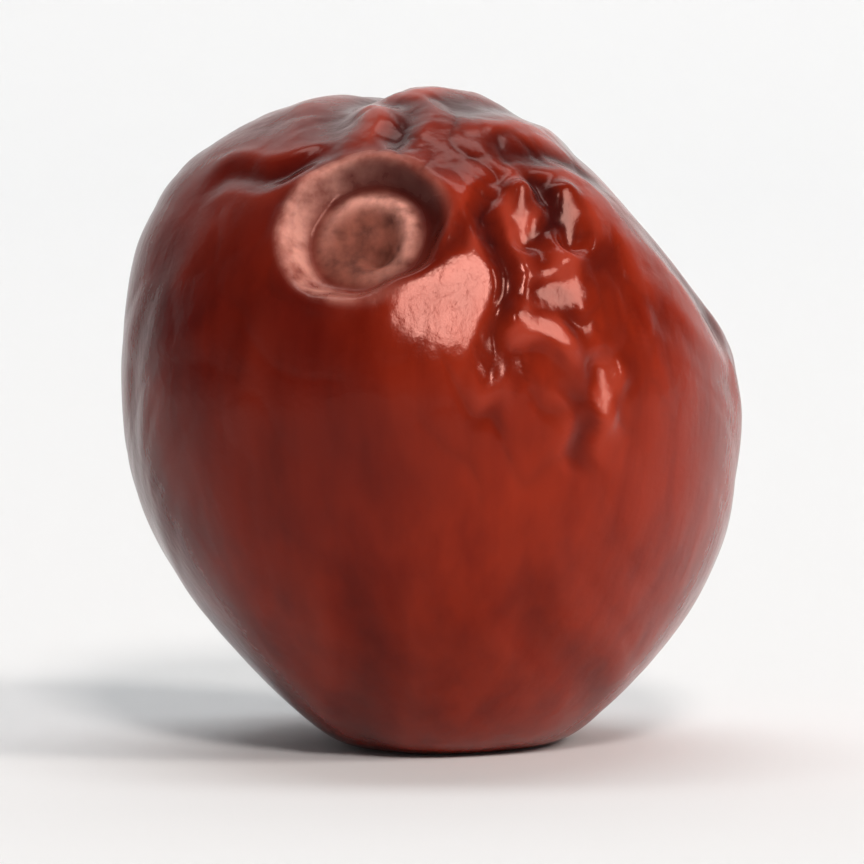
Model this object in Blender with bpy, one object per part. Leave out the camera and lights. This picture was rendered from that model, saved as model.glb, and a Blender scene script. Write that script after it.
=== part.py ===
"""One small dried jujube, resting on its side with the stem end raised towards the front.

The body starts as a UV sphere. A formula places each of its points by two angles: t, measured
from the stem, and u, measured round the stem axis from the fruit's right side. The formula gives
the barrel outline, the stem cavity with its rim and scar, the blossom dimple, the broad swells,
the single folds, the plates of slack skin with creases between them, and the flats left by
drying. Lengths in the constants and in the formula are millimetres; the finished mesh is in
metres. The origin is the middle of the foot of the bounding box, level with the flat spot that
the fruit rests on.
"""

import math

import bmesh
import bpy
import numpy as np

NAME = "jujube"
MM = 0.001

# Mesh density: sectors round the stem axis, rings along it, and how far rings crowd to the stem
SECTORS = 88
RINGS = 56
STEM_CROWDING = 0.42

# Whole fruit
LENGTH = 21.6
DIAMETER = 17.3
SHOULDER = 0.05
FULLNESS = 0.035

# Resting pose: where the stem end points, as right, back and up
STEM_WAY = (-0.202, -0.755, 0.624)
REST_PRESS = 1.05
REST_SOFTNESS = 0.25
REST_CUT = 0.05

# Stem cavity, with the ridge of scar and the small pit in it
CAVITY_RADIUS = 2.0
CAVITY_DEPTH = 1.05
RIM_HEIGHT = 0.16
SCAR_HEIGHT = 0.26
BOSS_HEIGHT = 0.22
PIT_DEPTH = 0.55

# Blossom dimple
DIMPLE_RADIUS = 1.5
DIMPLE_DEPTH = 0.7
TIP_HEIGHT = 0.25

# Flats left by drying: way they face as right, back and up, distance from the middle, softness
FLATS = (
    ((0.743, 0.050, 0.667), 8.45, 0.40),
    ((-0.707, -0.050, -0.705), 8.80, 0.50),
    ((0.720, 0.000, -0.694), 9.20, 0.50),
    ((0.054, -0.936, 0.347), 10.25, 0.05),
    ((-0.350, 0.880, 0.320), 9.45, 0.70),
    ((0.560, 0.780, -0.280), 9.05, 0.70),
)

# Swellings: way as right, back and up, height, spread in radians
SWELLS = (
    ((-0.700, 0.050, 0.710), 0.95, 0.42),
    ((-0.200, 0.300, 0.930), 0.20, 0.35),
    ((-0.150, -0.330, -0.930), 0.55, 0.45),
)

# Single folds: start t and u, end t and u in degrees, then depth and half width
FOLDS = (
    (24.4, 20.6, 34.4, 313.0, 0.20, 0.32),
    (17.2, 278.0, 20.8, 6.0, 0.12, 0.30),
    (31.4, 24.0, 29.6, 352.0, -0.08, 0.28),
    (35.5, 22.0, 33.0, 352.0, 0.13, 0.30),
    (42.0, 12.0, 38.0, 342.0, -0.13, 0.38),
    (32.0, 340.0, 43.0, 338.0, 0.10, 0.32),
    (31.0, 322.0, 45.0, 331.0, -0.13, 0.34),
    (48.0, 324.0, 60.0, 314.0, 0.14, 0.34),
    (49.0, 335.0, 58.0, 322.0, -0.12, 0.36),
    (36.0, 300.0, 42.0, 308.0, -0.06, 0.42),
    (30.0, 44.0, 52.0, 24.0, 0.12, 0.46),
    (18.0, 66.0, 40.0, 86.0, 0.18, 0.42),
    (18.0, 118.0, 36.0, 146.0, 0.17, 0.42),
    (64.0, 262.0, 104.0, 254.0, 0.09, 0.70),
    (72.0, 292.0, 112.0, 298.0, 0.08, 0.65),
)
LIP = 0.38

# Seeded folds over the rest of the skin
FOLD_SEED = 41
FOLD_COUNT = 46
FOLD_DEPTH = (0.10, 0.30)
FOLD_WIDTH = (0.45, 0.80)

# Broad lumps, and the plates of slack skin
LUMP_SEED = 7
LUMP_HEIGHT = 0.26
PLATE_SEED = 19
PLATE_COUNT = 90
PLATE_SLOPE = 0.07
CREASE_DEPTH = 0.10
CREASE_WIDTH = 0.07
PLATE_BLEND = 0.05

SKIN_COLOUR = (0.190, 0.022, 0.012, 1.0)
SKIN_ROUGHNESS = 0.32


def start_clean():
    """Take every object out of the scene."""
    for item in list(bpy.data.objects):
        bpy.data.objects.remove(item, do_unlink=True)


def unit(vectors):
    """Vectors scaled to length one."""
    return vectors / np.linalg.norm(vectors, axis=-1, keepdims=True)


def fruit_axes():
    """The fruit's right, back and stem ways in the world, one to a row."""
    stem = unit(np.array(STEM_WAY))
    right = np.array((1.0, 0.0, 0.0))
    right = unit(right - right.dot(stem) * stem)
    return np.array((right, np.cross(stem, right), stem))


def direction(t, u):
    """Unit direction at the angle t from the stem and u round it."""
    return np.stack((np.sin(t) * np.cos(u), np.sin(t) * np.sin(u), np.cos(t)), axis=-1)


def outline(t):
    """Distance from the axis and height along it for the plain barrel."""
    swell = 1.0 + SHOULDER * np.cos(t) + 0.5 * FULLNESS * np.sin(2.0 * t) ** 2
    return DIAMETER / 2.0 * np.sin(t) * swell, LENGTH / 2.0 * np.cos(t)


def cavity(radius, u):
    """Height of the stem end against the barrel: uneven rim, hollow, ridge, boss and pit."""
    uneven = 1.0 + 0.05 * np.sin(2.0 * u + 0.8) + 0.04 * np.sin(3.0 * u + 2.0)
    out = radius / (uneven + 0.025 * np.sin(7.0 * u))
    hollow = -CAVITY_DEPTH / (1.0 + (out / CAVITY_RADIUS) ** 9)
    rim = RIM_HEIGHT * np.exp(-(((out - 1.20 * CAVITY_RADIUS) / 0.40) ** 2))
    share = 1.0 + 0.55 * np.cos(u - 0.9) + 0.20 * np.sin(3.0 * u + 1.0)
    ridge = SCAR_HEIGHT * share * np.exp(-(((out - 0.60 * CAVITY_RADIUS) / 0.46) ** 2))
    boss = BOSS_HEIGHT * np.exp(-((out / 0.35) ** 2))
    side = radius * np.cos(u) - 0.25
    back = radius * np.sin(u) + 0.35
    pit = -PIT_DEPTH * np.exp(-(side**2 + back**2) / 0.22)
    return hollow + rim + ridge + boss + pit


def dimple(radius):
    """Height of the blossom end against the barrel: a dimple with a small tip in it."""
    tip = TIP_HEIGHT * np.exp(-((radius / 0.45) ** 2))
    return DIMPLE_DEPTH * np.exp(-((radius / DIMPLE_RADIUS) ** 2)) - tip


def lumps(where):
    """Broad seeded swells, from a sum of plane waves over the directions."""
    rng = np.random.default_rng(LUMP_SEED)
    total = np.zeros(len(where))
    for frequency in (1.7, 2.3, 2.9, 3.6, 4.4, 5.3):
        wave = unit(rng.normal(size=3)) * frequency
        total += np.sin(where @ wave + rng.uniform(0.0, math.tau)) / frequency
    return LUMP_HEIGHT * total


def swells(where):
    """The swellings named above, each a rounded hill."""
    total = np.zeros(len(where))
    for way, height, spread in SWELLS:
        middle = fruit_axes() @ unit(np.array(way))
        gap = np.arccos(np.clip(where @ middle, -1.0, 1.0))
        total += height * np.exp(-((gap / spread) ** 2))
    return total


def fold(where, start, end, depth, width):
    """A crease between two lips, along a slightly wavy arc from start to end."""
    normal = unit(np.cross(start, end))
    length = math.acos(float(np.clip(start.dot(end), -1.0, 1.0)))
    along = np.arctan2(where @ np.cross(normal, start), where @ start)
    wave = 0.028 * np.sin(7.0 * along / length + 9.0 * start[0])
    across = (np.arcsin(np.clip(where @ normal, -1.0, 1.0)) - wave) * DIAMETER / 2.0
    middle = np.clip(2.0 * along / length - 1.0, -1.6, 1.6)
    taper = np.exp(-(np.abs(middle) ** 5))
    crest = (np.abs(across) - 1.7 * width) / (0.75 * width)
    lips = LIP * np.exp(0.25 - np.sqrt(crest**2 + 0.0625))
    return depth * taper * (lips - np.exp(-((across / width) ** 2)))


def named_folds(where):
    """The folds seen beside the stem cavity, over the top and under the front."""
    total = np.zeros(len(where))
    for t0, u0, t1, u1, depth, width in FOLDS:
        start = direction(math.radians(t0), math.radians(u0))
        end = direction(math.radians(t1), math.radians(u1))
        total += fold(where, start, end, depth, width)
    return total


def seeded_folds(where):
    """Folds that start near either end and run along the fruit."""
    rng = np.random.default_rng(FOLD_SEED)
    total = np.zeros(len(where))
    for number in range(FOLD_COUNT):
        near = rng.uniform(0.42, 1.05)
        u0 = rng.uniform(0.0, math.tau)
        far = near + rng.uniform(0.35, 0.85)
        u1 = u0 + rng.normal(0.0, 0.42)
        depth = rng.uniform(*FOLD_DEPTH)
        width = rng.uniform(*FOLD_WIDTH)
        if number % 2 == 1:
            near = math.pi - near
            far = math.pi - far
        total += fold(where, direction(near, u0), direction(far, u1), depth, width)
    return total


def slackness(where):
    """One where the skin is slack, falling by a smooth step to near zero over the plump front and
    by another over the plump left shoulder."""
    front = where @ unit(np.array((0.25, -0.93, -0.05)))
    shoulder = where @ unit(np.array((-0.80, 0.20, 0.40)))
    slack = 1.0 - 0.97 / (1.0 + np.exp((0.18 - front) / 0.08))
    return slack * (1.0 - 0.90 / (1.0 + np.exp((0.62 - shoulder) / 0.07)))


def plates(where):
    """Skin broken into seeded leaning plates, longer along the fruit, creased between."""
    rng = np.random.default_rng(PLATE_SEED)
    squash = np.array((1.0, 1.0, 0.62))
    sites = unit(rng.normal(size=(PLATE_COUNT, 3))) * squash
    leans = rng.normal(size=(PLATE_COUNT, 3)) * PLATE_SLOPE * DIAMETER / 2.0
    bend = 0.05 * np.sin(6.0 * where[:, (1, 2, 0)] + rng.uniform(0.0, math.tau, 3))
    away = (where * squash + bend)[:, None, :] - sites[None, :, :]
    gaps = np.linalg.norm(away, axis=2)
    nearest = np.partition(gaps, 1, axis=1)
    share = np.exp((nearest[:, :1] - gaps) / PLATE_BLEND)
    lean = (share * (away * leans).sum(axis=2)).sum(axis=1) / share.sum(axis=1)
    edge = (nearest[:, 1] - nearest[:, 0]) / CREASE_WIDTH
    return lean - CREASE_DEPTH * np.exp(-(edge**2))


def press(points, way, distance, softness):
    """Flatten whatever lies beyond a plane at the given distance, with a soft shoulder."""
    over = (points @ way - distance) / softness
    return points - (softness * np.logaddexp(0.0, over))[:, None] * way


def fruit_points(t, u):
    """Positions in millimetres for the angles, in the resting pose."""
    where = direction(t, u)
    radius, height = outline(t)
    height = height + np.where(t < 1.2, cavity(radius, u), 0.0)
    height = height + np.where(t > 2.2, dimple(radius), 0.0)
    body = np.stack((radius * np.cos(u), radius * np.sin(u), height), axis=-1)
    outward = unit(where / np.array((DIAMETER, DIAMETER, LENGTH)))
    clear = 1.0 / (1.0 + np.exp((1.05 * CAVITY_RADIUS - radius) / 0.22))
    clear = np.where(t > 2.2, 1.0 - np.exp(-((radius / 1.1) ** 2)), clear)
    skin = named_folds(where) + slackness(where) * (seeded_folds(where) + plates(where))
    relief = lumps(where) + swells(where) + clear * skin
    world = (body + relief[:, None] * outward) @ fruit_axes()
    for way, distance, softness in FLATS:
        world = press(world, unit(np.array(way)), distance, softness)
    foot = -world[:, 2].min() - REST_PRESS
    return press(world, np.array((0.0, 0.0, -1.0)), foot, REST_SOFTNESS)


def sphere_angles(mesh):
    """Angles t and u of the sphere's vertices, with the rings crowded towards the stem."""
    flat = np.empty(len(mesh.vertices) * 3)
    mesh.vertices.foreach_get("co", flat)
    ball = unit(flat.reshape(-1, 3))
    t = np.arccos(np.clip(ball[:, 2], -1.0, 1.0))
    u = np.arctan2(ball[:, 1], ball[:, 0])
    crowded = t * (1.0 - STEM_CROWDING * np.exp(-2.0 * t))
    return crowded / (1.0 - STEM_CROWDING * math.exp(-2.0 * math.pi)), u


def cut_rest_face(mesh):
    """Cut the foot level, close it with one flat face and stand it on z = 0."""
    work = bmesh.new()
    work.from_mesh(mesh)
    level = min(vertex.co.z for vertex in work.verts) + REST_CUT * MM
    parts = list(work.verts) + list(work.edges) + list(work.faces)
    bmesh.ops.bisect_plane(
        work,
        geom=parts,
        dist=1e-7,
        plane_co=(0.0, 0.0, level),
        plane_no=(0.0, 0.0, 1.0),
        clear_inner=True,
    )
    rim = [edge for edge in work.edges if edge.is_boundary]
    made = bmesh.ops.contextual_create(work, geom=rim)
    for face in made["faces"]:
        face.smooth = False
    bmesh.ops.recalc_face_normals(work, faces=list(work.faces))
    bmesh.ops.translate(work, verts=list(work.verts), vec=(0.0, 0.0, -level))
    work.to_mesh(mesh)
    work.free()


def centre_on_box(mesh):
    """Put the origin in the middle of the bounding box's foot."""
    flat = np.empty(len(mesh.vertices) * 3)
    mesh.vertices.foreach_get("co", flat)
    points = flat.reshape(-1, 3)
    middle = (points.max(axis=0) + points.min(axis=0)) / 2.0
    points[:, :2] -= middle[:2]
    mesh.vertices.foreach_set("co", points.ravel())
    mesh.update()


def skin_material():
    """Dark red dried skin."""
    material = bpy.data.materials.new("dried_jujube_skin")
    material.use_nodes = True
    shader = material.node_tree.nodes["Principled BSDF"]
    shader.inputs["Base Color"].default_value = SKIN_COLOUR
    shader.inputs["Roughness"].default_value = SKIN_ROUGHNESS
    return material


def file_under(item, title):
    """Put the object in a collection of its own."""
    home = bpy.data.collections.new(title)
    bpy.context.scene.collection.children.link(home)
    for holder in list(item.users_collection):
        holder.objects.unlink(item)
    home.objects.link(item)


def build_jujube():
    """Make the fruit."""
    bpy.ops.mesh.primitive_uv_sphere_add(segments=SECTORS, ring_count=RINGS, radius=1.0)
    fruit = bpy.context.object
    fruit.name = NAME
    fruit.data.name = NAME
    t, u = sphere_angles(fruit.data)
    points = fruit_points(t, u) * MM
    fruit.data.vertices.foreach_set("co", points.ravel())
    fruit.data.update()
    fruit.data.shade_smooth()
    cut_rest_face(fruit.data)
    centre_on_box(fruit.data)
    fruit.data.materials.append(skin_material())
    file_under(fruit, "Jujube")


start_clean()
build_jujube()
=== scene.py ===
"""A small dried jujube lying on a pale table, its stem end raised towards the viewer."""

import math

import bpy
import numpy as np
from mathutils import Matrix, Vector


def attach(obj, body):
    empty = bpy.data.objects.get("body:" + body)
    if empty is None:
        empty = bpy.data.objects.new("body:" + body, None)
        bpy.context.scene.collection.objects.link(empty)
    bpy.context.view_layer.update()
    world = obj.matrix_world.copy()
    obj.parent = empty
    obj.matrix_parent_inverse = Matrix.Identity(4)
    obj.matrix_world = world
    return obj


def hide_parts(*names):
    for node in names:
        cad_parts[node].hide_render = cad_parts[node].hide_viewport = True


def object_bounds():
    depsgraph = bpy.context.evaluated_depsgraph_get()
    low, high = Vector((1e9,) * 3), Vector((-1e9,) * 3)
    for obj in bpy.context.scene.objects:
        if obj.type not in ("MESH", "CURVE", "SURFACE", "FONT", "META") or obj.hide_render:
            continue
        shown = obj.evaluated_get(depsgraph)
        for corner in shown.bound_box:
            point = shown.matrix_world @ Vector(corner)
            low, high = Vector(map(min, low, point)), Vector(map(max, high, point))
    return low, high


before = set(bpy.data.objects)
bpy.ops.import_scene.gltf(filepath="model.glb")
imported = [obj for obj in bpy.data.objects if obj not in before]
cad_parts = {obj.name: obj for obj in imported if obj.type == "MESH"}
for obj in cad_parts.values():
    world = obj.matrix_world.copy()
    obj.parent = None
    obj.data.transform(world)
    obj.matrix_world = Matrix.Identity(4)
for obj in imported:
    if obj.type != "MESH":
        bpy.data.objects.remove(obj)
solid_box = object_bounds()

MM = 0.001

# Grid of the finished skin: rings from stem to blossom end, points round each ring
RINGS = 299
ROUND = 320
STEM_CROWDING = 0.42

# The fruit's form, in millimetres, the same as the solid's
LENGTH = 21.6
DIAMETER = 17.3
SHOULDER = 0.05
FULLNESS = 0.035
STEM_WAY = (-0.202, -0.755, 0.624)
REST_PRESS = 1.05
REST_SOFTNESS = 0.25
REST_CUT = 0.05
CAVITY_RADIUS = 2.0
CAVITY_DEPTH = 1.05
RIM_HEIGHT = 0.16
SCAR_HEIGHT = 0.26
BOSS_HEIGHT = 0.22
PIT_DEPTH = 0.55
DIMPLE_RADIUS = 1.5
DIMPLE_DEPTH = 0.7
TIP_HEIGHT = 0.25

# Flats left by drying: way they face as right, back and up, distance from the middle, softness
FLATS = (
    ((0.743, 0.050, 0.667), 8.45, 0.40),
    ((-0.707, -0.050, -0.705), 8.80, 0.50),
    ((0.720, 0.000, -0.694), 9.20, 0.50),
    ((0.054, -0.936, 0.347), 10.25, 0.05),
    ((-0.350, 0.880, 0.320), 9.45, 0.70),
    ((0.560, 0.780, -0.280), 9.05, 0.70),
)

# Swellings: way as right, back and up, height, spread in radians
SWELLS = (
    ((-0.700, 0.050, 0.710), 0.95, 0.42),
    ((-0.200, 0.300, 0.930), 0.20, 0.35),
    ((-0.150, -0.330, -0.930), 0.55, 0.45),
)

# Single folds: start t and u, end t and u in degrees, then depth and half width
FOLDS = (
    (24.4, 20.6, 34.4, 313.0, 0.20, 0.32),
    (17.2, 278.0, 20.8, 6.0, 0.12, 0.30),
    (31.4, 24.0, 29.6, 352.0, -0.08, 0.28),
    (35.5, 22.0, 33.0, 352.0, 0.13, 0.30),
    (42.0, 12.0, 38.0, 342.0, -0.13, 0.38),
    (32.0, 340.0, 43.0, 338.0, 0.10, 0.32),
    (31.0, 322.0, 45.0, 331.0, -0.13, 0.34),
    (48.0, 324.0, 60.0, 314.0, 0.14, 0.34),
    (49.0, 335.0, 58.0, 322.0, -0.12, 0.36),
    (36.0, 300.0, 42.0, 308.0, -0.06, 0.42),
    (30.0, 44.0, 52.0, 24.0, 0.12, 0.46),
    (18.0, 66.0, 40.0, 86.0, 0.18, 0.42),
    (18.0, 118.0, 36.0, 146.0, 0.17, 0.42),
    (64.0, 262.0, 104.0, 254.0, 0.09, 0.70),
    (72.0, 292.0, 112.0, 298.0, 0.08, 0.65),
)
LIP = 0.38
FOLD_SEED = 41
FOLD_COUNT = 46
FOLD_DEPTH = (0.10, 0.30)
FOLD_WIDTH = (0.45, 0.80)
LUMP_SEED = 7
LUMP_HEIGHT = 0.26

# Fine relief that the solid does not have, in millimetres, and the slope of the patch's plates
COARSE_CRINKLE = 0.060
FINE_CRINKLE = 0.026
PUCKER_DEPTH = 0.110
RIPPLE_DEPTH = 0.035
DENT_HEIGHT = 0.006
PATCH_EDGE = 0.012
PATCH_LINE = 0.045
PATCH_SLOPE = 0.030

# Middles of the crumpled patch and of the puckers below it: t and u in degrees, reach in radians
PATCH_PLACE = (40.0, 342.0, 0.46)
PUCKER_PLACE = (45.0, 304.0, 0.27)

# Narrow facets of crumpled skin: start t and u, end t and u in degrees, half width, how far each
# turns from the skin's own way towards FACET_WAY (right, back and up), and how deep it is sunk
FACET_WAY = (0.424, -0.832, 0.358)
FACETS = (
    (28.8, 16.0, 28.8, 356.0, 0.38, 1.00, 0.0),
    (37.2, 16.0, 37.8, 1.0, 0.42, 1.00, 0.0),
    (36.6, 340.6, 38.4, 344.4, 0.64, 1.00, 0.0),
    (33.0, 327.2, 41.2, 330.0, 0.45, 1.00, 0.0),
    (50.4, 332.0, 54.2, 325.0, 0.42, 0.86, 0.21),
)

# Where the fruit stands for lights and camera, in metres; the camera's tilt and distance
FRUIT_MIDDLE = (0.0, 0.0, 0.009)
CAMERA_TILT = 4.5
CAMERA_DISTANCE = 0.262
CAMERA_LENS = 380.0


def unit(vectors):
    """Vectors scaled to length one."""
    return vectors / np.linalg.norm(vectors, axis=-1, keepdims=True)


def fruit_axes():
    """The fruit's right, back and stem ways in the world, one to a row."""
    stem = unit(np.array(STEM_WAY))
    right = np.array((1.0, 0.0, 0.0))
    right = unit(right - right.dot(stem) * stem)
    return np.array((right, np.cross(stem, right), stem))


def direction(t, u):
    """Unit direction: sin t times (cos u, sin u) across the stem axis, cos t along it."""
    return np.stack((np.sin(t) * np.cos(u), np.sin(t) * np.sin(u), np.cos(t)), axis=-1)


def placed(t, u):
    """Unit direction of a place given by its two angles in degrees."""
    return direction(math.radians(t), math.radians(u))


def fading(where, place):
    """One at a place, falling with e to the minus fourth power of the distance from it."""
    t, u, reach = place
    gap = np.arccos(np.clip(where @ placed(t, u), -1.0, 1.0))
    return np.exp(-((gap / reach) ** 4))


def barrel(t):
    """Plain barrel: radius is half the diameter times sin t, swollen by a share of cos t at the
    shoulder and of sin squared 2t between; height is half the length times cos t."""
    swell = 1.0 + SHOULDER * np.cos(t) + 0.5 * FULLNESS * np.sin(2.0 * t) ** 2
    return DIAMETER / 2.0 * np.sin(t) * swell, LENGTH / 2.0 * np.cos(t)


def stem_cavity(radius, u):
    """Height at the stem end: a flat-floored hollow, one over one plus the ninth power of the
    radius, a bell-shaped rim round it, and a bell-shaped ridge, boss and pit inside. Sines of
    2u, 3u and 7u make the hollow's edge uneven."""
    uneven = 1.0 + 0.05 * np.sin(2.0 * u + 0.8) + 0.04 * np.sin(3.0 * u + 2.0)
    out = radius / (uneven + 0.025 * np.sin(7.0 * u))
    hollow = -CAVITY_DEPTH / (1.0 + (out / CAVITY_RADIUS) ** 9)
    rim = RIM_HEIGHT * np.exp(-(((out - 1.20 * CAVITY_RADIUS) / 0.40) ** 2))
    share = 1.0 + 0.55 * np.cos(u - 0.9) + 0.20 * np.sin(3.0 * u + 1.0)
    ridge = SCAR_HEIGHT * share * np.exp(-(((out - 0.60 * CAVITY_RADIUS) / 0.46) ** 2))
    boss = BOSS_HEIGHT * np.exp(-((out / 0.35) ** 2))
    side = radius * np.cos(u) - 0.25
    back = radius * np.sin(u) + 0.35
    pit = -PIT_DEPTH * np.exp(-(side**2 + back**2) / 0.22)
    return hollow + rim + ridge + boss + pit


def blossom_dimple(radius):
    """Height at the blossom end: a bell-shaped dimple with a small bell-shaped tip in it."""
    tip = TIP_HEIGHT * np.exp(-((radius / 0.45) ** 2))
    return DIMPLE_DEPTH * np.exp(-((radius / DIMPLE_RADIUS) ** 2)) - tip


def lumps(where):
    """Broad swells: six seeded plane waves over the directions, each divided by its frequency."""
    rng = np.random.default_rng(LUMP_SEED)
    total = np.zeros(len(where))
    for frequency in (1.7, 2.3, 2.9, 3.6, 4.4, 5.3):
        wave = unit(rng.normal(size=3)) * frequency
        total += np.sin(where @ wave + rng.uniform(0.0, math.tau)) / frequency
    return LUMP_HEIGHT * total


def swellings(where):
    """The named swellings: each a bell over the angle from its middle."""
    total = np.zeros(len(where))
    for way, height, spread in SWELLS:
        middle = fruit_axes() @ unit(np.array(way))
        gap = np.arccos(np.clip(where @ middle, -1.0, 1.0))
        total += height * np.exp(-((gap / spread) ** 2))
    return total


def fold(where, start, end, depth, width):
    """A crease along a great-circle arc that a sine bends slightly: minus a bell over the
    distance from the arc, plus a pointed crest on either side, both fading past the ends."""
    normal = unit(np.cross(start, end))
    length = math.acos(float(np.clip(start.dot(end), -1.0, 1.0)))
    along = np.arctan2(where @ np.cross(normal, start), where @ start)
    wave = 0.028 * np.sin(7.0 * along / length + 9.0 * start[0])
    across = (np.arcsin(np.clip(where @ normal, -1.0, 1.0)) - wave) * DIAMETER / 2.0
    middle = np.clip(2.0 * along / length - 1.0, -1.6, 1.6)
    taper = np.exp(-(np.abs(middle) ** 5))
    crest = (np.abs(across) - 1.7 * width) / (0.75 * width)
    lips = LIP * np.exp(0.25 - np.sqrt(crest**2 + 0.0625))
    return depth * taper * (lips - np.exp(-((across / width) ** 2)))


def named_folds(where, table):
    """The sum of the folds in a table of angles, depths and widths."""
    total = np.zeros(len(where))
    for t0, u0, t1, u1, depth, width in table:
        total += fold(where, placed(t0, u0), placed(t1, u1), depth, width)
    return total


def seeded_folds(where):
    """The sum of seeded folds that start near either end and run along the fruit."""
    rng = np.random.default_rng(FOLD_SEED)
    total = np.zeros(len(where))
    for number in range(FOLD_COUNT):
        near = rng.uniform(0.42, 1.05)
        u0 = rng.uniform(0.0, math.tau)
        far = near + rng.uniform(0.35, 0.85)
        u1 = u0 + rng.normal(0.0, 0.42)
        depth = rng.uniform(*FOLD_DEPTH)
        width = rng.uniform(*FOLD_WIDTH)
        if number % 2 == 1:
            near = math.pi - near
            far = math.pi - far
        total += fold(where, direction(near, u0), direction(far, u1), depth, width)
    return total


def slackness(where):
    """One where the skin is slack, falling by a smooth step to near zero over the plump front and
    by another over the plump left shoulder."""
    front = where @ unit(np.array((0.25, -0.93, -0.05)))
    shoulder = where @ unit(np.array((-0.80, 0.20, 0.40)))
    slack = 1.0 - 0.97 / (1.0 + np.exp((0.18 - front) / 0.08))
    return slack * (1.0 - 0.90 / (1.0 + np.exp((0.62 - shoulder) / 0.07)))


def plates(where, sites, leans, squash, bend, crease_width, blend):
    """Skin broken into leaning plates: every direction takes the slope of the sites near it,
    weighted by the exponential of how much further off each is than the nearest. Returns that
    height, and a bell over the distance to the border between the two nearest sites."""
    spot = where * squash + bend
    near = np.full(len(where), 9.0)
    second = np.full(len(where), 9.0)
    for site in sites * squash:
        gap = np.linalg.norm(spot - site, axis=1)
        second = np.minimum(second, np.maximum(gap, near))
        near = np.minimum(gap, near)
    total = np.zeros(len(where))
    weight = np.zeros(len(where))
    for site, lean in zip(sites * squash, leans):
        away = spot - site
        share = np.exp((near - np.linalg.norm(away, axis=1)) / blend)
        total += share * (away @ lean)
        weight += share
    return total / weight, np.exp(-(((second - near) / crease_width) ** 2))


def slack_plates(where):
    """Plates of two to three millimetres over the slack skin, longer along the fruit."""
    rng = np.random.default_rng(19)
    sites = unit(rng.normal(size=(90, 3)))
    leans = rng.normal(size=(90, 3)) * 0.07 * DIAMETER / 2.0
    bend = 0.05 * np.sin(6.0 * where[:, (1, 2, 0)] + rng.uniform(0.0, math.tau, 3))
    lean, edge = plates(where, sites, leans, np.array((1.0, 1.0, 0.62)), bend, 0.07, 0.05)
    return lean - 0.10 * edge, edge


def crinkles(spot, seed, pitch, narrow):
    """Fine crinkling, from zero on the skin to one down the creases: the exponential of minus
    the size of a sum of seeded waves, each about a pitch long. The places that the waves run
    over are bent by two slower waves."""
    rng = np.random.default_rng(seed)
    bend = 0.060 * np.sin(6.0 * spot[:, (1, 2, 0)] + rng.uniform(0.0, math.tau, 3))
    bend += 0.018 * np.sin(19.0 * spot[:, (2, 0, 1)] + rng.uniform(0.0, math.tau, 3))
    total = np.zeros(len(spot))
    for _ in range(10):
        wave = unit(rng.normal(size=3)) * math.pi * DIAMETER / pitch * rng.uniform(0.7, 1.3)
        total += np.sin((spot + bend) @ wave + rng.uniform(0.0, math.tau))
    return np.exp(-np.sqrt(total**2 / 5.0 + 0.01) / narrow)


def crumpled_patch(where, folds):
    """Skin crumpled beside the stem cavity on the right: little plates a millimetre wide and
    twice as tall, with fine upright creases. It fades away from its middle and in the deep folds.
    Returns its height, and from zero to one how deep in a crease each point lies."""
    rng = np.random.default_rng(5)
    sites = unit(placed(*PATCH_PLACE[:2]) + rng.normal(size=(90, 3)) * 0.30)
    leans = rng.normal(size=(90, 3)) * PATCH_SLOPE * DIAMETER / 2.0
    bend = 0.04 * np.sin(8.0 * where[:, (1, 2, 0)] + rng.uniform(0.0, math.tau, 3))
    upright = fruit_axes()
    tall = np.array((1.0, 1.0, 0.50))
    lean, edge = plates(where @ upright, sites @ upright, leans, tall, bend, 0.020, 0.020)
    lines = crinkles(where @ upright * np.array((1.0, 1.0, 0.35)), 37, 1.3, 0.40)
    inside = fading(where, PATCH_PLACE) * np.exp(-((folds / 0.10) ** 2))
    height = lean - PATCH_EDGE * edge - PATCH_LINE * lines
    return inside * height, inside * np.maximum(edge, lines)


def puckers(where):
    """Shallow upright puckers on the front below the cavity, fading away from their middle: from
    zero to one, how deep each point lies in one."""
    lines = crinkles(where @ fruit_axes() * np.array((1.0, 1.0, 0.45)), 43, 1.3, 0.45)
    return lines * fading(where, PUCKER_PLACE)


def dents(where):
    """Faint unevenness over the whole skin: eight seeded waves about three millimetres long."""
    rng = np.random.default_rng(31)
    total = np.zeros(len(where))
    for _ in range(8):
        wave = unit(rng.normal(size=3)) * math.pi * DIAMETER / 3.0 * rng.uniform(0.7, 1.4)
        total += np.sin(where @ wave + rng.uniform(0.0, math.tau))
    return DENT_HEIGHT * total


def facets(where, points):
    """Turn narrow strips of the skin into facets: each point near a strip moves along the skin's
    own way to a plane at the strip's middle, sunk a little where it would stand out, by a share
    of e to the minus cube of its distance from the strip."""
    face = unit(np.array(FACET_WAY))
    for t0, u0, t1, u1, half, turn, sink in FACETS:
        start = placed(t0, u0)
        run = placed(t1, u1) - start
        middle = unit(start + run / 2.0)
        plain = unit(middle / np.array((DIAMETER, DIAMETER, LENGTH))) @ fruit_axes()
        way = unit(plain + turn * (face - plain))
        share = np.clip((where - start) @ run / run.dot(run), 0.0, 1.0)
        gap = np.linalg.norm(where - start - share[:, None] * run, axis=1) * DIAMETER / 2.0
        nearest = np.argmax(where @ middle)
        drop = (points[nearest] - points) @ way / plain.dot(way) - sink
        points = points + (np.exp(-((gap / half) ** 3)) * drop)[:, None] * plain
    return points


def press(points, way, distance, softness):
    """Flatten whatever lies beyond a plane, by the soft positive part of the overshoot."""
    over = (points @ way - distance) / softness
    return points - (softness * np.logaddexp(0.0, over))[:, None] * way


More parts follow.
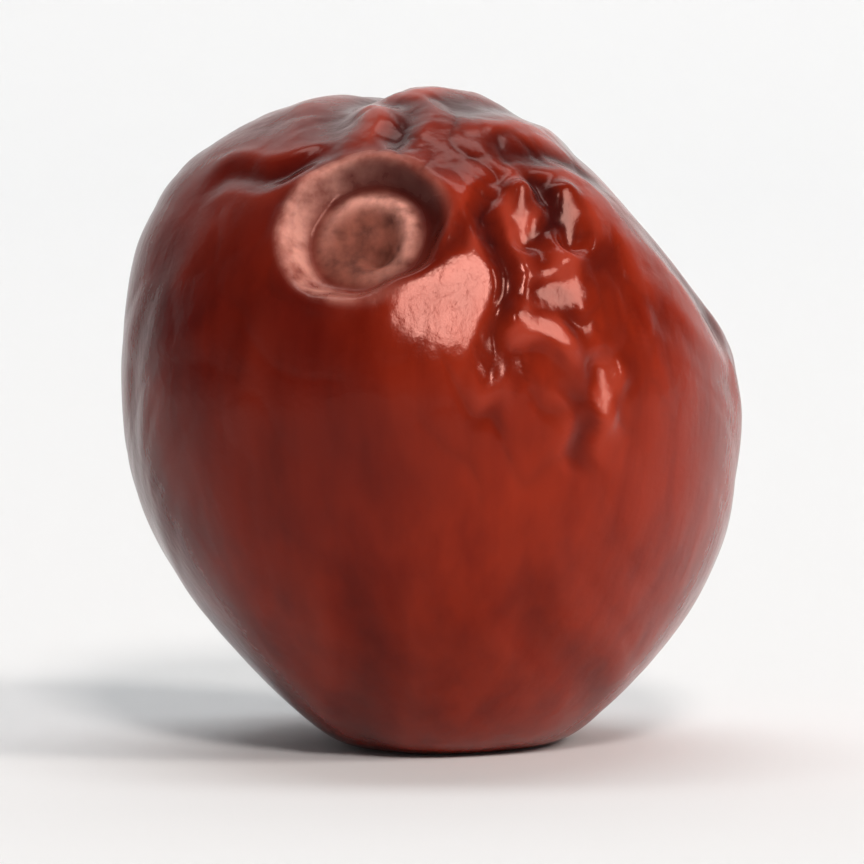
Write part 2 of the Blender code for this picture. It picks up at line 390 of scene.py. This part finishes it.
def fine_relief(where, slack, folds):
    """Relief too fine for the solid: plates, crinkles in two sizes on the slack skin, ripples
    along the plump skin, the crumpled patch, the puckers below it and faint dents. Returns its
    height, and from zero to one how much painted shade darkens each point down in its crease."""
    loose = np.clip(1.25 * slack - 0.25, 0.0, 1.0) ** 2
    wide, wide_edge = slack_plates(where)
    along = where * np.array((1.0, 1.0, 0.50))
    coarse = crinkles(along, 23, 2.6, 0.30)
    fine = crinkles(along, 29, 1.3, 0.35)
    ripple = crinkles(where * np.array((1.0, 1.0, 0.22)), 47, 2.4, 0.70)
    sharp, sharp_edge = crumpled_patch(where, folds)
    pucker = puckers(where)
    height = slack * wide + sharp + dents(where) - PUCKER_DEPTH * pucker
    height -= loose * (COARSE_CRINKLE * coarse + FINE_CRINKLE * fine)
    height -= (1.0 - loose) * RIPPLE_DEPTH * ripple
    # Painted shade: darker down in the creases of the plates, crinkles, patch and puckers
    dark = loose * (wide_edge / 2.0 + 0.45 * coarse + 0.25 * fine) + sharp_edge / 4.0
    return height, dark + 0.30 * pucker


def cavity_marks(t, u, radius):
    """From zero to one: painted shade on the cavity's shaded side, its pale rim, partly its own
    colour and partly painted highlight stronger on one side, with the pale arc in it, and the
    corky scar."""
    stem = t < 1.0
    # Painted shade on one side of the cavity's wall; the pale rim is painted stronger on the
    # other side as painted highlight
    shaded = stem * (0.5 + 0.5 * np.cos(u - 0.8))
    scuffed_and_lit = stem * (0.5 + 0.5 * np.cos(u - 2.6))
    dark = shaded * np.exp(-(((radius - 0.97 * CAVITY_RADIUS) / 0.42) ** 4))
    rim = scuffed_and_lit * np.exp(-(((radius - 1.08 * CAVITY_RADIUS) / 0.40) ** 4))
    arc = shaded * np.exp(-(((radius - 0.62 * CAVITY_RADIUS) / 0.26) ** 2))
    scar = stem / (1.0 + np.exp((radius - 0.78 * CAVITY_RADIUS) / 0.10))
    return dark, np.maximum(rim, arc), scar


def skin_surface(t, u):
    """The finished skin: the barrel with its cavity and dimple, moved outwards by the lumps,
    swellings, folds and fine relief, turned into the resting pose, pressed flat where it dried
    against something, with narrow facets where it is crumpled. Returns points in millimetres,
    and marks from zero to one: painted shade in the creases and on the cavity's shaded side,
    crests, the cavity's pale rim, the stem scar, and painted light that makes the right side
    lighter."""
    where = direction(t, u)
    radius, height = barrel(t)
    height = height + np.where(t < 1.2, stem_cavity(radius, u), 0.0)
    height = height + np.where(t > 2.2, blossom_dimple(radius), 0.0)
    body = np.stack((radius * np.cos(u), radius * np.sin(u), height), axis=-1)
    outward = unit(where / np.array((DIAMETER, DIAMETER, LENGTH)))
    clear = 1.0 / (1.0 + np.exp((1.05 * CAVITY_RADIUS - radius) / 0.22))
    clear = np.where(t > 2.2, 1.0 - np.exp(-((radius / 1.1) ** 2)), clear)

    slack = slackness(where)
    folds = named_folds(where, FOLDS) + slack * seeded_folds(where)
    fine, fine_crease_shade = fine_relief(where, slack, folds)
    relief = lumps(where) + swellings(where) + clear * (folds + fine)
    world = (body + relief[:, None] * outward) @ fruit_axes()
    for way, distance, softness in FLATS:
        world = press(world, unit(np.array(way)), distance, softness)
    world = facets(where, world)
    foot = -world[:, 2].min() - REST_PRESS
    world = press(world, np.array((0.0, 0.0, -1.0)), foot, REST_SOFTNESS)

    # Painted shade down in the folds and the fine creases
    deep = clear * np.clip(fine_crease_shade - folds / 0.25, 0.0, 1.0)
    # Crest mark: crests painted lighter, partly thinner skin stretched over the flesh, partly
    # painted highlight
    crest = clear * np.clip(folds / 0.12, 0.0, 1.0)
    dark, rim, scar = cavity_marks(t, u, radius)
    # Painted light: the skin is painted lighter and oranger on the side facing right and front
    # and darker on the left, broken up by the lumps
    lit_way = unit(np.array((0.86, -0.30, 0.10))) @ fruit_axes().T
    painted_lit_side = 0.5 + 0.5 * np.tanh(1.6 * (where @ lit_way + 0.6 * lumps(where)))
    # The crease mark is painted shade: the creases and the cavity's shaded side
    marks = {"crease": np.maximum(deep, dark), "crest": crest, "rim": rim, "scar": scar}
    return world, {**marks, "painted_lit_side": painted_lit_side}


def closed_skin(name):
    """A grid of rings between two poles, closed with a fan of triangles at each pole."""
    share = np.arange(RINGS + 2) / (RINGS + 1)
    t = math.pi * share
    t = t * (1.0 - STEM_CROWDING * np.exp(-2.0 * t))
    t = t * math.pi / t[-1]
    u = np.arange(ROUND) / ROUND * math.tau
    grid_t = np.concatenate((t[:1], np.repeat(t[1:-1], ROUND), t[-1:]))
    grid_u = np.concatenate(((0.0,), np.tile(u, RINGS), (0.0,)))
    points, marks = skin_surface(grid_t, grid_u)
    points[:, 2] = np.maximum(points[:, 2] - points[:, 2].min() - REST_CUT, 0.0)
    middle = (points.max(axis=0) + points.min(axis=0)) / 2.0
    target = (np.array(solid_box[0]) + np.array(solid_box[1])) / 2.0 / MM
    points[:, :2] += target[:2] - middle[:2]

    ring = np.arange(RINGS - 1)[:, None] * ROUND + 1
    here = np.arange(ROUND)[None, :]
    after = (here + 1) % ROUND
    quads = np.stack((ring + here, ring + ROUND + here, ring + ROUND + after, ring + after), -1)
    last = 1 + (RINGS - 1) * ROUND
    top = np.stack((np.zeros(ROUND, int), 1 + here[0], 1 + after[0]), -1)
    foot = np.full(ROUND, RINGS * ROUND + 1)
    bottom = np.stack((foot, last + after[0], last + here[0]), -1)

    mesh = bpy.data.meshes.new(name)
    faces = quads.reshape(-1, 4).tolist() + top.tolist() + bottom.tolist()
    mesh.from_pydata((points * MM).tolist(), [], faces)
    for label, values in marks.items():
        layer = mesh.attributes.new(label, "FLOAT", "POINT")
        layer.data.foreach_set("value", values.astype(np.float32))
    mesh.shade_smooth()
    mesh.update()
    piece = bpy.data.objects.new(name, mesh)
    bpy.context.scene.collection.objects.link(piece)
    return piece


def fruit_turn():
    """The turn, as three angles, that stands the fruit on its blossom end."""
    return tuple(Vector(STEM_WAY).to_track_quat("Z", "Y").inverted().to_euler())


def srgb(code):
    """An sRGB hex colour as linear red, green, blue and full alpha."""
    parts = [int(code[i : i + 2], 16) / 255.0 for i in (0, 2, 4)]
    linear = [c / 12.92 if c <= 0.04045 else ((c + 0.055) / 1.055) ** 2.4 for c in parts]
    return (*linear, 1.0)


def add(tree, kind, settings, links):
    """Add a node, give its properties and sockets their values, and link its inputs."""
    node = tree.nodes.new(kind)
    for key, value in settings.items():
        if hasattr(node, str(key)):
            setattr(node, key, value)
        else:
            node.inputs[key].default_value = value
    for key, source in links.items():
        tree.links.new(source, node.inputs[key])
    return node.outputs


def dried_skin():
    """Sun-dried jujube skin: thin waxy skin over sticky flesh. It is glossy and dark red, with
    painted shade darkening the creases and the cavity's shaded side, painted light making the
    right side lighter and oranger, and crests painted lighter; it glows orange where light passes
    through the flesh. The corky scar in the stem cavity is dull grey-brown, and the cavity's rim
    is pale, partly its own colour and partly painted highlight on one side."""
    material = bpy.data.materials.new("sun_dried_jujube_skin")
    material.use_nodes = True
    tree = material.node_tree
    shader = tree.nodes["Principled BSDF"]
    noise, blend, spread = "ShaderNodeTexNoise", "ShaderNodeMix", "ShaderNodeMapRange"
    sums, mark = "ShaderNodeMath", "ShaderNodeAttribute"
    place = add(tree, "ShaderNodeTexCoord", {}, {})["Object"]
    crease = add(tree, mark, {"attribute_name": "crease"}, {})["Fac"]
    crest = add(tree, mark, {"attribute_name": "crest"}, {})["Fac"]
    rim = add(tree, mark, {"attribute_name": "rim"}, {})["Fac"]
    scar = add(tree, mark, {"attribute_name": "scar"}, {})["Fac"]
    # Painted light mark: lighter towards the right and front
    painted_lit_side = add(tree, mark, {"attribute_name": "painted_lit_side"}, {})["Fac"]

    # Patterns, a multiple of one over their size: clouds 4 mm, streaks 1 mm wide and 5 mm long
    # up the fruit, cork crumbs 0.6 mm, skin grain 0.3 mm
    turned = {"Rotation": fruit_turn(), "Scale": (1.0, 1.0, 0.2)}
    along = add(tree, "ShaderNodeMapping", turned, {"Vector": place})["Vector"]
    cloud = add(tree, noise, {"Scale": 250.0, "Detail": 2.0}, {"Vector": place})["Fac"]
    streak = add(tree, noise, {"Scale": 1000.0, "Detail": 3.0}, {"Vector": along})["Fac"]
    crumb = add(tree, noise, {"Scale": 1700.0, "Detail": 5.0}, {"Vector": place})["Fac"]
    grain = add(tree, noise, {"Scale": 3300.0, "Detail": 3.0}, {"Vector": place})["Fac"]

    # Red skin varying in clouds, painted lighter and oranger towards the right as painted light,
    # with darker streaks and lighter crests
    levels = {"From Min": 0.15, "From Max": 0.85, "To Min": -0.35, "To Max": 0.35}
    tone_and_lit_side = add(tree, spread, levels, {"Value": cloud})["Result"]
    tone_and_lit_side = add(tree, sums, {"operation": "ADD", "use_clamp": True}, {0: tone_and_lit_side, 1: painted_lit_side})["Value"]
    reds = {"data_type": "RGBA", 6: srgb("4E0F0C"), 7: srgb("8E260F")}
    red = add(tree, blend, reds, {0: tone_and_lit_side})[2]
    lines = add(tree, spread, {"From Min": 0.30, "From Max": 0.60}, {"Value": streak})["Result"]
    shades = {"data_type": "RGBA", 6: srgb("C9A8A2"), 7: srgb("FFFFFF")}
    veins = add(tree, blend, shades, {0: lines})[2]
    darken = {"data_type": "RGBA", "blend_type": "MULTIPLY", 0: 0.6}
    red = add(tree, blend, darken, {6: red, 7: veins})[2]
    # Crests painted lighter and oranger: partly thin stretched skin, partly painted highlight on
    # the ridges
    lit_crest = add(tree, sums, {"operation": "MULTIPLY", 1: 0.45}, {0: crest})["Value"]
    red = add(tree, blend, {"data_type": "RGBA", 7: srgb("B34A38")}, {0: lit_crest, 6: red})[2]

    # Cork on the scar, the pale rim (partly painted highlight), and painted shade in the creases
    levels = {"From Min": 0.30, "From Max": 0.62, "To Min": 0.2, "To Max": 0.9}
    scuff = add(tree, spread, levels, {"Value": crumb})["Result"]
    browns = {"data_type": "RGBA", 6: srgb("34140F"), 7: srgb("8C5042")}
    cork = add(tree, blend, browns, {0: scuff})[2]
    colour = add(tree, blend, {"data_type": "RGBA"}, {0: scar, 6: red, 7: cork})[2]
    pale = add(tree, sums, {"operation": "MULTIPLY"}, {0: scuff, 1: rim})["Value"]
    colour = add(tree, blend, {"data_type": "RGBA", 7: srgb("EBA898")}, {0: pale, 6: colour})[2]
    # Painted shade: dark brown mixed in down in the creases and on the cavity's shaded side
    depth = add(tree, sums, {"operation": "MULTIPLY", 1: 0.90}, {0: crease})["Value"]
    colour = add(tree, blend, {"data_type": "RGBA", 7: srgb("2C0809")}, {0: depth, 6: colour})[2]
    tree.links.new(colour, shader.inputs["Base Color"])

    # Waxy gloss that varies in clouds, dull on the cork and the rim
    levels = {"From Min": 0.15, "From Max": 0.85, "To Min": 0.12, "To Max": 0.26}
    gloss = add(tree, spread, levels, {"Value": cloud})["Result"]
    dull = add(tree, sums, {"operation": "MAXIMUM"}, {0: scar, 1: pale})["Value"]
    duller = {"operation": "MULTIPLY_ADD", 1: 0.5}
    rough = add(tree, sums, duller, {0: dull, 2: gloss})["Value"]
    tree.links.new(rough, shader.inputs["Roughness"])

    # Skin grain with the streaks standing out a little, 0.06 mm at most
    twice = {"operation": "MULTIPLY_ADD", 1: 2.0}
    height = add(tree, sums, twice, {0: streak, 2: grain})["Value"]
    raised = {"Strength": 0.20, "Distance": 0.00006}
    bump = add(tree, "ShaderNodeBump", raised, {"Height": height})["Normal"]
    tree.links.new(bump, shader.inputs["Normal"])

    # Light that sinks 0.6 mm into the flesh and comes out red, under a tinted waxy reflection
    shader.inputs["Subsurface Weight"].default_value = 0.14
    shader.inputs["Subsurface Radius"].default_value = (1.0, 0.28, 0.14)
    shader.inputs["Subsurface Scale"].default_value = 0.0006
    shader.inputs["IOR"].default_value = 1.38
    shader.inputs["Specular IOR Level"].default_value = 0.39
    shader.inputs["Specular Tint"].default_value = srgb("FFC0B4")
    return material


def pale_table():
    """Matt white painted board, which gives a plain pale ground."""
    material = bpy.data.materials.new("matt_white_board")
    material.use_nodes = True
    shader = material.node_tree.nodes["Principled BSDF"]
    shader.inputs["Base Color"].default_value = srgb("EBEEF0")
    shader.inputs["Roughness"].default_value = 0.9
    return material


def sweep_floor():
    """A board that runs back, curves up through a quarter circle and goes on as a wall. It lies
    a hair under the fruit's foot."""
    bend = np.linspace(0.0, math.pi / 2.0, 25)
    front, back, lift, top, half = -5.0, 0.30, 0.40, 1.6, 1.8
    hair = 0.00002
    depth = np.concatenate(((front,), back + lift * np.sin(bend), (back + lift,)))
    level = np.concatenate(((0.0,), lift - lift * np.cos(bend), (top,))) - hair
    across = np.tile((-half, half), len(depth))
    points = np.stack((across, np.repeat(depth, 2), np.repeat(level, 2)), -1)
    row = np.arange(len(depth) - 1)[:, None] * 2
    faces = row + np.array((0, 1, 3, 2))
    mesh = bpy.data.meshes.new("pale_sweep")
    mesh.from_pydata(points.tolist(), [], faces.tolist())
    mesh.shade_smooth()
    floor = bpy.data.objects.new("pale_sweep", mesh)
    bpy.context.scene.collection.objects.link(floor)
    floor.data.materials.append(pale_table())


def soft_box(name, azimuth, elevation, distance, aim, size, power, colour):
    """A rectangular light aimed at a point, placed by degrees from the viewer's side."""
    lamp = bpy.data.lights.new(name, "AREA")
    lamp.shape = "RECTANGLE"
    lamp.size, lamp.size_y = size
    lamp.energy = power
    lamp.color = srgb(colour)[:3]
    holder = bpy.data.objects.new(name, lamp)
    a, e = math.radians(azimuth), math.radians(elevation)
    way = Vector((math.sin(a) * math.cos(e), -math.cos(a) * math.cos(e), math.sin(e)))
    holder.location = Vector(FRUIT_MIDDLE) + way * distance
    holder.rotation_euler = (holder.location - Vector(aim)).to_track_quat("Z", "Y").to_euler()
    bpy.context.scene.collection.objects.link(holder)


def surround():
    """A dim white surround, brighter towards the horizon, so the table's edge does not show as a
    line in the glossy skin."""
    world = bpy.data.worlds.new("dim_white_surround")
    world.use_nodes = True
    tree = world.node_tree
    place = add(tree, "ShaderNodeTexCoord", {}, {})["Generated"]
    height = add(tree, "ShaderNodeSeparateXYZ", {}, {0: place})["Z"]
    levels = {"From Max": 0.35, "To Min": 0.42, "To Max": 0.09}
    levels["interpolation_type"] = "SMOOTHERSTEP"
    glow = add(tree, "ShaderNodeMapRange", levels, {"Value": height})["Result"]
    tree.links.new(glow, tree.nodes["Background"].inputs["Strength"])
    tree.nodes["Background"].inputs["Color"].default_value = srgb("FFFFFF")
    return world


def lights():
    """A soft box high in front, one on the right, one turned to the wall, and a dim surround."""
    wall_foot = (0.0, 0.70, 0.20)
    soft_box("key", 8.0, 36.0, 1.20, FRUIT_MIDDLE, (0.18, 0.24), 7.0, "FFF4EE")
    soft_box("side", 57.0, 33.0, 1.20, FRUIT_MIDDLE, (0.28, 0.36), 6.5, "FFF6EE")
    soft_box("wall", 180.0, 80.0, 0.90, wall_foot, (0.80, 0.40), 4.2, "FFFFFF")
    bpy.context.scene.world = surround()


def camera():
    """Long lens, four and a half degrees above level, straight at the front."""
    lens = bpy.data.cameras.new("camera")
    lens.lens = CAMERA_LENS
    lens.clip_start = 0.01
    lens.clip_end = 10.0
    holder = bpy.data.objects.new("camera", lens)
    tilt = math.radians(CAMERA_TILT)
    way = Vector((0.0, -math.cos(tilt), math.sin(tilt)))
    holder.location = Vector(FRUIT_MIDDLE) + way * CAMERA_DISTANCE
    holder.rotation_euler = way.to_track_quat("Z", "Y").to_euler()
    bpy.context.scene.collection.objects.link(holder)
    bpy.context.scene.camera = holder


def view_colours():
    """Plain display colours."""
    bpy.context.scene.view_settings.view_transform = "Standard"
    bpy.context.scene.view_settings.look = "None"


fruit = closed_skin("jujube_skin")
fruit.data.materials.append(dried_skin())
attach(fruit, "root")
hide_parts("jujube")

sweep_floor()
lights()
camera()
view_colours()
